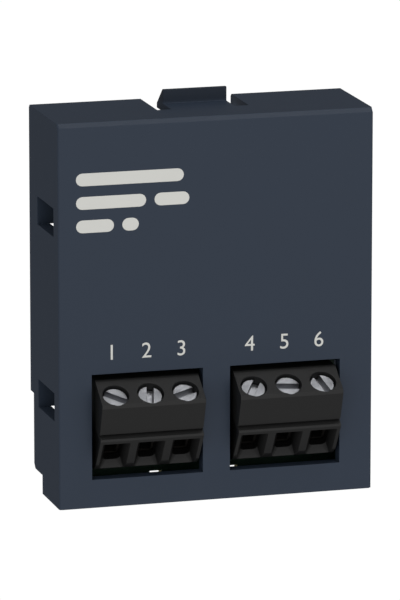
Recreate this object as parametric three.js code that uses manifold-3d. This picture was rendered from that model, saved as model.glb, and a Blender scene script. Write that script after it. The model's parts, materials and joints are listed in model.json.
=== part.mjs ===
// A compact analog output module for a programmable controller. It snaps into a slot of the
// controller: a shallow moulded shell that is open at the rear holds a circuit board, two rows of
// screw terminals look out of its front, and a shrouded connector on the rear joins the controller.
//
// Millimetres. X runs to the right, Y runs back from the front face, and Z runs up. X is 0 on the
// middle plane, Y is 0 on the front face and Z is 0 on the bottom face, until the last line moves
// the whole module so that its bounding box stands centred on the origin.

import * as THREE from "three";
import { ConvexGeometry } from "three/addons/geometries/ConvexGeometry.js";
import { mergeVertices } from "three/addons/utils/BufferGeometryUtils.js";
import Module from "manifold-3d";

const wasm = await Module();
wasm.setup();

// ---------------------------------------------------------------- driving dimensions

// Housing shell
const WIDTH = 34.45;
const HEIGHT = 41.4;
const DEPTH = 12.05;
const WALL = 1.4;
const FRONT_WALL = 1.5;
const FLOOR = 1.55;
const FRONT_BEVEL = 0.46;
const REAR_BEVEL = 0.3;
const FOOT_DEPTH = 7.2;
const FOOT_STEP_Z = 2.05;
const LOWER_DEPTH = 10.7;
const LOWER_TOP_Z = 10.25;
const LOWER_BEVEL = 0.5;

// Front windows for the terminal blocks
const TERMINAL_X = 7.57;
const FRONT_WINDOW = { halfWidth: 6.08, low: 3.05, high: 14.44 };

// Square windows in the side walls, and the snap hooks formed behind them
const SIDE_WINDOW = { front: 1.91, back: 8.75, height: 3.04, lowest: [9.19, 29.07] };
const HOOK_REACH = 1.05;
const HOOK_FLAT = 0.25;
const HOOK_RAMP_END = 10.4;

// Notch in the top wall, and the locking clip in it
const NOTCH_HALF = 5.025;
const NOTCH_FRONT = 5.1;
const CLIP = { halfWidth: 3.5, root: 5.4, tip: 10.9, under: 40.5, catchY: 8.28, apexBack: 8.75, top: 42.92 };
const CLIP_TIP_Z = 41.06;

// Terminal blocks: the clamps lean back by the tilt, about the middle of the clamp
const PITCH = 3.81;
const WAYS = 3;
const CLAMP_SHIFT = -0.085;
const TILT = THREE.MathUtils.degToRad(34);
const CLAMP_Y = 1.8;
const CLAMP_Z = 7.5;
const BLOCK_HALF = 5.65;
const BLOCK_TOP = 13.75;
const BLOCK_REAR = 7.15;
const SCREW_FACE = 6.0;
const BROW = { depth: -1.62, height: 5.68, back: -1.36 };
const STRIP_FOOT = { depth: -2.435, height: 2.59 };
const LEDGE = { back: -2.2, front: -2.9, rise: 0.18, height: 2.31, bevel: 0.17 };
const CHIN = { top: -1.42, depth: -2.74, height: -2.37 };

// Wire entries, in the same tilted directions
const ENTRY_FACE = 3.07;
const MOUTH = { depth: -3.27, halfX: 1.62, low: -3.0, high: 1.87 };
const THROAT = { depth: -2.2, halfX: 0.95, low: -1.57, high: 1.2, corner: 0.5 };
const CHAMBER = { halfX: 1.5, halfY: 1.45, low: -2.0, high: 3.65 };

// Screws, cages and contact bars, in the same tilted directions
const SCREW = { headRadius: 1.35, headTop: 5.6, headLow: 4.35, radius: 0.9, tip: 1.25 };
const BORE_RADIUS = 1.43;
const SLOT = { width: 0.7, depth: 0.72 };
const SLOT_ANGLES = { left: [-33, 77, 19.5], right: [58, -5, -72] };
const SHANK_CLEARANCE = 0.1;
const CAGE = { halfX: 1.3, halfY: 1.25, low: -1.86, high: 1.85, wall: 0.5, rise: 1.6 };
const BAR = { halfWidth: 0.6, low: 0.6, high: 1.1, front: -1.1, back: 2.2 };
const PIN_END = 10.0;

// Circuit board
const BOARD_FRONT = 7.35;
const BOARD_REAR = 8.55;
const BOARD_HALF = 15.6;
const BOARD_LOW = 0.5;
const BOARD_HIGH = 39.2;
const PIN_HOLE = 0.85;
const BOARD_NOTCHES = [-4.67, 3.81];
const BOARD_NOTCH = { halfWidth: 0.66, top: 1.65 };
const HOOK_NOTCH = { inner: 15.3, below: 1.7, above: 0.3 };
const PEGS = [[-12.6, 36.2], [12.6, 17.6]];
const PEG = { base: 1.5, tip: 0.75, hole: 0.95 };

// Connector to the controller
const CONNECTOR = { z: 24, halfX: 7.1, halfZ: 3.0, wall: 0.8, low: 9.25, floor: 11.0, rear: 16.0 };
const CONTACT_PITCH = 2.0;
const CONTACTS_PER_ROW = 6;
const CONTACT = { half: 0.25, end: 14.9, footReach: 1.3 };

// Components: length, width, height and legs of each outline
const CHOKE = { half: 2.6, cut: 0.8, flange: 0.7, height: 2.8, coil: 2.2 };
const TRANSFORMER = {
  core: { halfX: 4.3, halfY: 3.1, span: [0.6, 4.0] },
  winding: { halfX: 2.7, halfY: 3.7, span: [1.0, 3.6] },
  base: { halfX: 4.1, halfY: 3.6, span: [0, 0.7] },
};
const SMALL_OUTLINE = { length: 4.9, width: 3.9, height: 1.5, legs: 4, pitch: 1.27, legWidth: 0.4 };
const WIDE_OUTLINE = { length: 10.3, width: 7.5, height: 2.3, legs: 8, pitch: 1.27, legWidth: 0.4 };
const THIN_OUTLINE = { length: 5.0, width: 4.4, height: 1.0, legs: 8, pitch: 0.65, legWidth: 0.25 };
const POWER_OUTLINE = { length: 6.5, width: 3.5, height: 1.6, legs: 3, pitch: 2.3, legWidth: 0.7 };
const STORAGE = [3.5, 2.8, 1.9];
const CERAMIC = [3.2, 1.6, 1.1];
const SUPPRESSOR = [4.4, 2.6, 2.1];

// Gap between parts that rest on each other
const GAP = 0.15;

// ---------------------------------------------------------------- materials

const FINISHES = {
  housing: { color: 0x383e48, roughness: 0.55, metalness: 0 },
  terminal: { color: 0x242424, roughness: 0.5, metalness: 0 },
  screw: { color: 0xa6a8ad, roughness: 0.35, metalness: 1 },
  brass: { color: 0xc9b37e, roughness: 0.35, metalness: 1 },
  tin: { color: 0xb9bcc0, roughness: 0.3, metalness: 1 },
  board: { color: 0x1f5a3a, roughness: 0.4, metalness: 0 },
  connector: { color: 0x1b1b1d, roughness: 0.5, metalness: 0 },
  gold: { color: 0xd2ab55, roughness: 0.25, metalness: 1 },
  chip: { color: 0x1d1e20, roughness: 0.6, metalness: 0 },
  ferrite: { color: 0x4a4a4d, roughness: 0.7, metalness: 0 },
  tantalum: { color: 0xb8862e, roughness: 0.5, metalness: 0 },
  ceramic: { color: 0xa98d6a, roughness: 0.6, metalness: 0 },
};

// ---------------------------------------------------------------- solids

// A closed geometry as a solid that can be joined and cut.
function solid(geometry) {
  const bare = geometry.clone();
  bare.deleteAttribute("normal");
  bare.deleteAttribute("uv");
  const welded = mergeVertices(bare, 1e-5);
  return new wasm.Manifold(new wasm.Mesh({
    numProp: 3,
    vertProperties: Float32Array.from(welded.attributes.position.array),
    triVerts: Uint32Array.from(welded.index.array),
  }));
}

// A named mesh of a solid.
function part(name, shape, finish) {
  const result = shape.getMesh();
  const geometry = new THREE.BufferGeometry();
  geometry.setAttribute("position", new THREE.BufferAttribute(Float32Array.from(result.vertProperties), 3));
  geometry.setIndex(new THREE.BufferAttribute(Uint32Array.from(result.triVerts), 1));
  geometry.computeVertexNormals();
  const mesh = new THREE.Mesh(geometry, new THREE.MeshStandardMaterial(FINISHES[finish]));
  mesh.name = name;
  return mesh;
}

// A box between two values along each axis.
function box([x0, x1], [y0, y1], [z0, z1]) {
  const geometry = new THREE.BoxGeometry(x1 - x0, y1 - y0, z1 - z0);
  geometry.translate((x0 + x1) / 2, (y0 + y1) / 2, (z0 + z1) / 2);
  return solid(geometry);
}

// An outline extruded by a length along its own normal, before any turn.
function prism(outline, length) {
  const shape = new THREE.Shape(outline.map(([u, v]) => new THREE.Vector2(u, v)));
  return new THREE.ExtrudeGeometry(shape, { depth: length, bevelEnabled: false });
}

// An outline in Y and Z, extruded from x0 to x1.
function prismAlongX(outline, [x0, x1]) {
  const geometry = prism(outline, x1 - x0);
  const axes = [new THREE.Vector3(0, 1, 0), new THREE.Vector3(0, 0, 1), new THREE.Vector3(1, 0, 0)];
  geometry.applyMatrix4(new THREE.Matrix4().makeBasis(...axes));
  geometry.translate(x0, 0, 0);
  return solid(geometry);
}

// An outline in X and Y, extruded from z0 to z1.
function prismAlongZ(outline, [z0, z1]) {
  const geometry = prism(outline, z1 - z0);
  geometry.translate(0, 0, z0);
  return solid(geometry);
}

// A round bar along Z.
function rodAlongZ(radius, [z0, z1], sides, [x, y] = [0, 0]) {
  const geometry = new THREE.CylinderGeometry(radius, radius, z1 - z0, sides);
  geometry.rotateX(Math.PI / 2);
  geometry.translate(x, y, (z0 + z1) / 2);
  return solid(geometry);
}

// A round bar along Y.
function rodAlongY(radius, [y0, y1], sides, [x, z]) {
  const geometry = new THREE.CylinderGeometry(radius, radius, y1 - y0, sides);
  geometry.translate(x, (y0 + y1) / 2, z);
  return solid(geometry);
}

// The mirror pair of values that a half width gives.
function both(half) {
  return [-half, half];
}

// ---------------------------------------------------------------- housing

function frontHousing() {
  const outline = [
    [0, 0],
    [FOOT_DEPTH, 0],
    [FOOT_DEPTH, FOOT_STEP_Z],
    [LOWER_DEPTH - LOWER_BEVEL, FOOT_STEP_Z],
    [LOWER_DEPTH, FOOT_STEP_Z + LOWER_BEVEL],
    [LOWER_DEPTH, LOWER_TOP_Z],
    [DEPTH, LOWER_TOP_Z],
    [DEPTH, HEIGHT - REAR_BEVEL],
    [DEPTH - REAR_BEVEL, HEIGHT],
    [FRONT_BEVEL, HEIGHT],
    [0, HEIGHT - FRONT_BEVEL],
  ];
  const inner = WIDTH / 2 - WALL;
  let shell = prismAlongX(outline, both(WIDTH / 2));
  shell = shell.subtract(box(both(inner), [FRONT_WALL, DEPTH + 1], [FLOOR, HEIGHT - WALL]));
  shell = shell.subtract(box(both(NOTCH_HALF), [NOTCH_FRONT, DEPTH + 1], [HEIGHT - 2 * WALL, HEIGHT + 1]));
  for (const x of both(TERMINAL_X)) {
    const across = [x - FRONT_WINDOW.halfWidth, x + FRONT_WINDOW.halfWidth];
    shell = shell.subtract(box(across, [-1, FRONT_WALL + 1], [FRONT_WINDOW.low, FRONT_WINDOW.high]));
  }
  for (const low of SIDE_WINDOW.lowest) {
    const span = [low, low + SIDE_WINDOW.height];
    shell = shell.subtract(box(both(WIDTH), [SIDE_WINDOW.front, SIDE_WINDOW.back], span));
    for (const side of both(1)) {
      shell = shell.add(snapHook(side, inner, span));
    }
  }
  for (const [x, z] of PEGS) {
    shell = shell.add(locatingPeg(x, z));
  }
  return part("front_housing", shell.add(boardStops(inner)), "housing");
}

// A hook inside a side wall. Its flat face holds the rear of the board.
function snapHook(side, inner, span) {
  const rooted = inner + WALL / 2;
  const outline = [
    [side * rooted, SIDE_WINDOW.back],
    [side * (inner - HOOK_REACH), SIDE_WINDOW.back],
    [side * (inner - HOOK_REACH), SIDE_WINDOW.back + HOOK_FLAT],
    [side * inner, HOOK_RAMP_END],
    [side * rooted, HOOK_RAMP_END],
  ];
  return prismAlongZ(outline, span);
}

// A peg on the front wall: a post that the board rests on, and a spigot through the board.
function locatingPeg(x, z) {
  const post = rodAlongY(PEG.base, [FRONT_WALL - 0.5, BOARD_FRONT - GAP], 20, [x, z]);
  return post.add(rodAlongY(PEG.tip, [FRONT_WALL, BOARD_REAR + 0.6], 20, [x, z]));
}

// Ribs on the side walls that the front of the board rests on, and a rib between the windows.
function boardStops(inner) {
  const stopReach = 1.4;
  const stopHalf = 0.6;
  const between = { half: 0.6, back: 4.5, high: 15.6 };
  const low = WALL / 2;
  let ribs = box(both(between.half), [FRONT_WALL / 2, between.back], [low, between.high]);
  for (const z of [5.2, 21, 37]) {
    const run = [FRONT_WALL / 2, BOARD_FRONT - GAP];
    const height = [z - stopHalf, z + stopHalf];
    ribs = ribs.add(box([-inner - low, -inner + stopReach], run, height));
    ribs = ribs.add(box([inner - stopReach, inner + low], run, height));
  }
  return ribs;
}

// A tongue in the plane of the top wall, with a ramped hook on it.
function lockingClip() {
  const outline = [
    [CLIP.root, CLIP.under],
    [CLIP.tip, CLIP.under],
    [CLIP.tip, CLIP_TIP_Z],
    [CLIP.apexBack, CLIP.top],
    [CLIP.catchY, CLIP.top],
    [CLIP.catchY, HEIGHT],
    [CLIP.root, HEIGHT],
  ];
  return part("locking_clip", prismAlongX(outline, both(CLIP.halfWidth)), "housing");
}

// ---------------------------------------------------------------- terminals

// A point of the tilted clamp: depth along the wire, and height along the screw.
function tilted(depth, height) {
  const cos = Math.cos(TILT);
  const sin = Math.sin(TILT);
  return [CLAMP_Y + depth * cos - height * sin, CLAMP_Z + depth * sin + height * cos];
}

// Where the clamp of one way stands: its pieces are made upright and leaned back here.
function clampPlace(x) {
  const turn = new THREE.Matrix4().makeRotationX(TILT);
  return turn.setPosition(x, CLAMP_Y, CLAMP_Z);
}

// A solid made upright, leaned back into its way.
function leaned(shape, x) {
  return shape.transform(clampPlace(x).elements);
}

function wayPositions(centre) {
  return Array.from({ length: WAYS }, (_, way) => centre + (way - (WAYS - 1) / 2) * PITCH);
}

// The middle of each clamp of a block.
function clampPositions(centre) {
  return wayPositions(centre).map((x) => x + CLAMP_SHIFT);
}

function terminalBlock(name, centre) {
  const screwFaceEnd = (BLOCK_TOP - CLAMP_Z - SCREW_FACE * Math.cos(TILT)) / Math.sin(TILT);
  const chin = tilted(CHIN.depth, CHIN.height);
  const outline = [
    tilted(screwFaceEnd, SCREW_FACE),
    tilted(BROW.back, SCREW_FACE),
    tilted(BROW.depth, BROW.height),
    tilted(STRIP_FOOT.depth, STRIP_FOOT.height),
    tilted(LEDGE.back, LEDGE.height + LEDGE.rise),
    tilted(LEDGE.back, LEDGE.height),
    tilted(LEDGE.front, LEDGE.height),
    tilted(-ENTRY_FACE, LEDGE.height - LEDGE.bevel),
    tilted(-ENTRY_FACE, CHIN.top),
    chin,
    [BLOCK_REAR, chin[1]],
    [BLOCK_REAR, BLOCK_TOP],
  ];
  let body = prismAlongX(outline, [centre - BLOCK_HALF, centre + BLOCK_HALF]);
  for (const x of wayPositions(centre)) {
    body = body.subtract(leaned(wireEntry(), x));
  }
  for (const x of clampPositions(centre)) {
    body = body.subtract(leaned(clampHollow(), x));
    body = body.subtract(pinTunnel(x));
  }
  return part(name, body, "terminal");
}

// What one clamp leaves open in the block: screw bore and cage chamber.
function clampHollow() {
  const ledge = SCREW.headLow - GAP;
  const chamber = box(both(CHAMBER.halfX), both(CHAMBER.halfY), [CHAMBER.low, CHAMBER.high]);
  const bore = rodAlongZ(BORE_RADIUS, [ledge, SCREW_FACE + 1], 32);
  const neck = rodAlongZ(SCREW.radius + 2 * SHANK_CLEARANCE, [CHAMBER.high - 0.5, ledge + 0.5], 20);
  const barSlot = box(both(BAR.halfWidth + GAP), [0, BAR.back + 0.4], [BAR.low - GAP, BAR.high + GAP]);
  return chamber.add(bore).add(neck).add(barSlot);
}

// A funnel from the entry face to a rounded throat, which leads into the chamber.
function wireEntry() {
  const outline = throatOutline();
  const points = outline.map(([x, z]) => new THREE.Vector3(x, THROAT.depth, z));
  for (const x of both(MOUTH.halfX)) {
    for (const z of [MOUTH.low, MOUTH.high]) {
      points.push(new THREE.Vector3(x, MOUTH.depth, z));
    }
  }
  const overlap = 0.2;
  const throatLength = -CHAMBER.halfY - THROAT.depth + 2 * overlap;
  const throat = prism(outline, throatLength);
  throat.rotateX(Math.PI / 2);
  throat.translate(0, THROAT.depth - overlap + throatLength, 0);
  return solid(new ConvexGeometry(points)).add(solid(throat));
}

// A rectangle with round corners, in X and Z.
function throatOutline() {
  const { halfX, low, high, corner } = THROAT;
  const shape = new THREE.Shape();
  shape.absarc(halfX - corner, high - corner, corner, 0, Math.PI / 2);
  shape.absarc(corner - halfX, high - corner, corner, Math.PI / 2, Math.PI);
  shape.absarc(corner - halfX, low + corner, corner, Math.PI, 1.5 * Math.PI);
  shape.absarc(halfX - corner, low + corner, corner, 1.5 * Math.PI, 2 * Math.PI);
  return shape.getPoints(5).map(({ x, y }) => [x, y]);
}

// The straight way from the back of a clamp to the board.
function pinTunnel(x) {
  const [bendY, bendZ] = tilted(BAR.back, (BAR.low + BAR.high) / 2);
  const half = (BAR.high - BAR.low) / 2 + GAP;
  const across = [x - BAR.halfWidth - GAP, x + BAR.halfWidth + GAP];
  return box(across, [bendY - 2 * GAP, BLOCK_REAR + 1], [bendZ - half, bendZ + half]);
}

// A cheese-head screw with a driver slot, upright on its own axis.
function clampScrew(name, x, slotAngle) {
  const head = rodAlongZ(SCREW.headRadius, [SCREW.headLow, SCREW.headTop], 28);
  const shank = rodAlongZ(SCREW.radius, [SCREW.tip, SCREW.headLow + 0.2], 18);
  const slotFloor = SCREW.headTop - SLOT.depth;
  const slot = box(both(SCREW.headRadius + 1), both(SLOT.width / 2), [slotFloor, SCREW.headTop + 1]);
  const screw = head.add(shank).subtract(slot.rotate([0, 0, slotAngle]));
  const mesh = part(name, screw, "screw");
  mesh.applyMatrix4(clampPlace(x));
  return mesh;
}

// A square ring that the screw lifts: the wire goes through it, under the contact bar. The grooves
// in its side walls give the shank room when the cage is up.
function clampCage(name, x) {
  const { halfX, halfY, low, high, wall, rise } = CAGE;
  let cage = box(both(halfX), both(halfY), [low, high]);
  cage = cage.subtract(box(both(halfX - wall), both(halfY + 1), [low + wall, high - wall]));
  const grooveFoot = SCREW.tip - rise - GAP;
  cage = cage.subtract(rodAlongZ(SCREW.radius + SHANK_CLEARANCE, [grooveFoot, high + 1], 18));
  const mesh = part(name, cage, "brass");
  mesh.applyMatrix4(clampPlace(x));
  return mesh;
}

// The bar that the wire is pressed against, with its solder pin through the board.
function contactPin(name, x) {
  const [bendY, bendZ] = tilted(BAR.back, (BAR.low + BAR.high) / 2);
  const half = (BAR.high - BAR.low) / 2;
  const bar = box(both(BAR.halfWidth), [BAR.front, BAR.back], [BAR.low, BAR.high]);
  const across = [x - BAR.halfWidth, x + BAR.halfWidth];
  const pin = box(across, [bendY - GAP, PIN_END], [bendZ - half, bendZ + half]);
  return part(name, leaned(bar, x).add(pin), "tin");
}

function terminals() {
  const group = new THREE.Group();
  group.add(terminalBlock("terminal_block_left", -TERMINAL_X));
  group.add(terminalBlock("terminal_block_right", TERMINAL_X));
  const places = [...clampPositions(-TERMINAL_X), ...clampPositions(TERMINAL_X)];
  const angles = [...SLOT_ANGLES.left, ...SLOT_ANGLES.right];
  places.forEach((x, index) => {
    group.add(clampScrew(`clamp_screw_${index + 1}`, x, angles[index]));
    group.add(clampCage(`clamp_cage_${index + 1}`, x));
    group.add(contactPin(`contact_pin_${index + 1}`, x));
  });
  return group;
}

// ---------------------------------------------------------------- circuit board

function circuitBoard() {
  const [, pinZ] = tilted(BAR.back, (BAR.low + BAR.high) / 2);
  const through = [BOARD_FRONT - 1, BOARD_REAR + 1];
  let board = box(both(BOARD_HALF), [BOARD_FRONT, BOARD_REAR], [BOARD_LOW, BOARD_HIGH]);
  for (const x of [...clampPositions(-TERMINAL_X), ...clampPositions(TERMINAL_X)]) {
    board = board.subtract(rodAlongY(PIN_HOLE, through, 16, [x, pinZ]));
  }
  for (const place of PEGS) {
    board = board.subtract(rodAlongY(PEG.hole, through, 20, place));
  }
  for (const x of BOARD_NOTCHES) {
    const across = [x - BOARD_NOTCH.halfWidth, x + BOARD_NOTCH.halfWidth];
    board = board.subtract(box(across, through, [BOARD_LOW - 1, BOARD_NOTCH.top]));
  }
  for (const low of SIDE_WINDOW.lowest) {
    const span = [low - HOOK_NOTCH.below, low + SIDE_WINDOW.height + HOOK_NOTCH.above];
    board = board.subtract(box([-WIDTH, -HOOK_NOTCH.inner], through, span));
    board = board.subtract(box([HOOK_NOTCH.inner, WIDTH], through, span));
  }
  return part("circuit_board", board, "board");
}

// A group on one face of the board. In it, X and Y lie in the face and Z stands out of it.
// On the rear face X runs to the right as seen from behind.
function boardFace(face) {
  const group = new THREE.Group();
  const rear = face === "rear";
  group.rotation.set(Math.PI / 2, 0, rear ? Math.PI : 0, "ZXY");
  group.position.y = rear ? BOARD_REAR : BOARD_FRONT;
  return group;
}

// Puts a piece that was made over the origin at its place on a board face.
function placed(mesh, x, y) {
  mesh.position.set(x, y, GAP);
  return mesh;
}

// ---------------------------------------------------------------- connector

function connectorShell() {
  const { z, halfX, halfZ, wall, low, floor, rear } = CONNECTOR;
  let shell = box(both(halfX), [low, rear], [z - halfZ, z + halfZ]);
  shell = shell.subtract(box(both(halfX - wall), [floor, rear + 1], [z - halfZ + wall, z + halfZ - wall]));
  const keyHalf = 1.5;
  shell = shell.subtract(box(both(keyHalf), [floor + 1, rear + 1], [z + halfZ - wall - 0.2, z + halfZ + 1]));
  for (const [x, rowZ] of contactPlaces()) {
    const half = CONTACT.half + GAP;
    shell = shell.subtract(box([x - half, x + half], [low - 1, floor + 1], [rowZ - half, rowZ + half]));
  }
  for (const x of both(halfX - wall)) {
    shell = shell.add(rodAlongY(0.6, [BOARD_REAR + GAP, low + 0.5], 12, [x, z]));
  }
  return part("connector_shell", shell, "connector");
}

function contactPlaces() {
  const places = [];
  for (const row of both(1)) {
    for (let column = 0; column < CONTACTS_PER_ROW; column += 1) {
      const x = (column - (CONTACTS_PER_ROW - 1) / 2) * CONTACT_PITCH;
      places.push([x, CONNECTOR.z + (row * CONTACT_PITCH) / 2]);
    }
  }
  return places;
}

// A square pin with a foot that lies on its solder pad, outside the shell.
function connectorPin(name, x, rowZ) {
  const away = Math.sign(rowZ - CONNECTOR.z);
  const foot = BOARD_REAR + 0.1;
  const footTop = foot + 2 * CONTACT.half - 0.1;
  const footEnd = CONNECTOR.z + away * (CONNECTOR.halfZ + CONTACT.footReach);
  const inner = rowZ - away * CONTACT.half;
  const outer = rowZ + away * CONTACT.half;
  const outline = [
    [foot, inner],
    [CONTACT.end, inner],
    [CONTACT.end, outer],
    [footTop, outer],
    [footTop, footEnd],
    [foot, footEnd],
  ];
  return part(name, prismAlongX(outline, [x - CONTACT.half, x + CONTACT.half]), "gold");
}

function connector() {
  const group = new THREE.Group();
  group.add(connectorShell());
  contactPlaces().forEach(([x, rowZ], index) => {
    const number = String(index + 1).padStart(2, "0");
    group.add(connectorPin(`connector_pin_${number}`, x, rowZ));
  });
  return group;
}

// ---------------------------------------------------------------- electronics

// A chip package with bent legs along two sides. X is its length, the legs stand out in Y.
function chip(name, { length, width, height, legs, pitch, legWidth }) {
  const knee = height * 0.45;
  const reach = 0.9;
  const thick = 0.2;
  let shape = box(both(length / 2), both(width / 2), [0.1, height]);
  for (const side of both(1)) {
    const edge = width / 2;
    const outline = [
      [side * (edge - 0.2), knee],
      [side * (edge + 0.35), knee],
      [side * (edge + 0.35), 0],
      [side * (edge + reach), 0],
      [side * (edge + reach), thick],
      [side * (edge + 0.35 + thick), thick],
      [side * (edge + 0.35 + thick), knee + thick],
      [side * (edge - 0.2), knee + thick],
    ];
    for (let leg = 0; leg < legs; leg += 1) {
      const x = (leg - (legs - 1) / 2) * pitch;
      shape = shape.add(prismAlongX(outline, [x - legWidth / 2, x + legWidth / 2]));
    }
  }
  return part(name, shape, "chip");
}

// A two-ended moulded or ceramic component with metal ends.
function twoEnded(name, [length, width, height], endLength, finish) {
  const bodyHalf = length / 2 - endLength / 2;
  const body = box(both(bodyHalf), both(width / 2), [0.05, height]);
  const ends = box(both(length / 2), both(width / 2 - 0.1), [0, height - 0.1]);
  return part(name, body.add(ends), finish);
}

// A wound choke: a round coil between two square flanges with cut corners.
function powerInductor(name) {
  const { half, cut, flange: thick, height, coil } = CHOKE;
  const outline = [
    [half, half - cut], [half - cut, half], [cut - half, half], [-half, half - cut],
    [-half, cut - half], [cut - half, -half], [half - cut, -half], [half, cut - half],
  ];
  const base = prismAlongZ(outline, [0, thick]);
  const cap = prismAlongZ(outline, [height - thick, height]);
  const wound = rodAlongZ(coil, [thick / 2, height - thick / 2], 20);
  return part(name, base.add(cap).add(wound), "ferrite");
}

// A small transformer: a ferrite frame round a wound bobbin.
function supplyTransformer(name) {
  const { core, winding, base } = TRANSFORMER;
  const blocks = [core, winding, base].map(({ halfX, halfY, span }) => box(both(halfX), both(halfY), span));
  return part(name, blocks[0].add(blocks[1]).add(blocks[2]), "ferrite");
}

function frontElectronics() {
  const face = boardFace("front");
  face.add(placed(supplyTransformer("supply_transformer"), -6.2, 32.4));
  face.add(placed(chip("isolator_chip", WIDE_OUTLINE), 6.6, 32.2));
  face.add(placed(powerInductor("power_inductor"), -10.4, 22.4));
  face.add(placed(twoEnded("storage_capacitor_1", STORAGE, 0.8, "tantalum"), -4.0, 24.8));
  face.add(placed(twoEnded("storage_capacitor_2", STORAGE, 0.8, "tantalum"), -4.0, 20.6));
  return face;
}

function rearElectronics() {
  const face = boardFace("rear");
  face.add(placed(chip("converter_chip", THIN_OUTLINE), -7.2, 16.4));
  face.add(placed(chip("amplifier_chip", SMALL_OUTLINE), 0.6, 15.6));
  face.add(placed(chip("memory_chip", SMALL_OUTLINE), 3.4, 33.2));
  face.add(placed(chip("regulator_chip", POWER_OUTLINE), -8.8, 33.4));
  face.add(placed(twoEnded("storage_capacitor_3", STORAGE, 0.8, "tantalum"), -2.6, 33.4));
  face.add(placed(twoEnded("suppressor_left", SUPPRESSOR, 1.0, "chip"), TERMINAL_X, 5.2));
  face.add(placed(twoEnded("suppressor_right", SUPPRESSOR, 1.0, "chip"), -TERMINAL_X, 5.2));
  const ceramics = [[-11.4, 24.6], [-11.4, 21.8], [11.2, 27.0], [8.2, 37.0]];
  ceramics.forEach(([x, y], index) => {
    face.add(placed(twoEnded(`ceramic_capacitor_${index + 1}`, CERAMIC, 0.6, "ceramic"), x, y));
  });
  return face;
}

// ---------------------------------------------------------------- module

const module = new THREE.Group();
module.add(frontHousing(), lockingClip(), circuitBoard());
module.add(terminals(), connector(), frontElectronics(), rearElectronics());

const [foremost] = tilted(BROW.depth, BROW.height);
module.position.y = -(foremost + CONNECTOR.rear) / 2;

const plcModule = new THREE.Group();
plcModule.add(module);

export default plcModule;
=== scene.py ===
"""The looks of the analog output module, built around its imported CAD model."""

import json
import math

import bmesh
import bpy
from mathutils import Matrix, Vector


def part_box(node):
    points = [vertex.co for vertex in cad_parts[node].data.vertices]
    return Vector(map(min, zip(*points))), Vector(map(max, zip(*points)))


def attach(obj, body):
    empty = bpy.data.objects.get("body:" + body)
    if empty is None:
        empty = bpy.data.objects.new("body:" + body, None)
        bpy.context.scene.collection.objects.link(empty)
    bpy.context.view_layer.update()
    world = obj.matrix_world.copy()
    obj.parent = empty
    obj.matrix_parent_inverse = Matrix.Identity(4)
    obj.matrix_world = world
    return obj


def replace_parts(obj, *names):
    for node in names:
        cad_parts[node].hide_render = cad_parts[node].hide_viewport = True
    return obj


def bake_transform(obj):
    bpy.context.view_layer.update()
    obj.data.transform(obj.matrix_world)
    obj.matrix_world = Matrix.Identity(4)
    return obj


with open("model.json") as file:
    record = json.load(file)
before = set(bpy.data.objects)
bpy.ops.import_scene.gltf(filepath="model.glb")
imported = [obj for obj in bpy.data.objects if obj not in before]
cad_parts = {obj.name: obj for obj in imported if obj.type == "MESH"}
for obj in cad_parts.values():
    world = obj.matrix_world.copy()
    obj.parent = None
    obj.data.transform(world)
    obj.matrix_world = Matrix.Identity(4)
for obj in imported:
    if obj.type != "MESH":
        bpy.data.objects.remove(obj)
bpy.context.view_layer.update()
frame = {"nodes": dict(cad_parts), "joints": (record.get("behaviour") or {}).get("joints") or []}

MM = 0.001

# ---------------------------------------------------------------- the view

VIEW_AZIMUTH = -15.97
VIEW_ELEVATION = 12.69
VIEW_DISTANCE = 0.619
VIEW_LENS = 349.5
# The view's centre, from the middle of the housing.
VIEW_SHIFT = Vector((-0.385, -1.025, -0.08)) * MM

# ---------------------------------------------------------------- places, all from the frame

HOUSING_LOW, HOUSING_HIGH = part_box("front_housing")
FRONT_Y = HOUSING_LOW.y
BOARD_LOW, BOARD_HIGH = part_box("circuit_board")
BOARD_FRONT = BOARD_LOW.y
BOARD_REAR = BOARD_HIGH.y
CAGES = [f"clamp_cage_{number}" for number in range(1, 7)]
PINS = [f"contact_pin_{number}" for number in range(1, 7)]
JOINTS = {joint["name"]: joint for joint in frame["joints"]}
WAY_X = [JOINTS[f"screw_{number}_turn"]["pos_m"][0] for number in range(1, 7)]


# ---------------------------------------------------------------- materials


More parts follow.
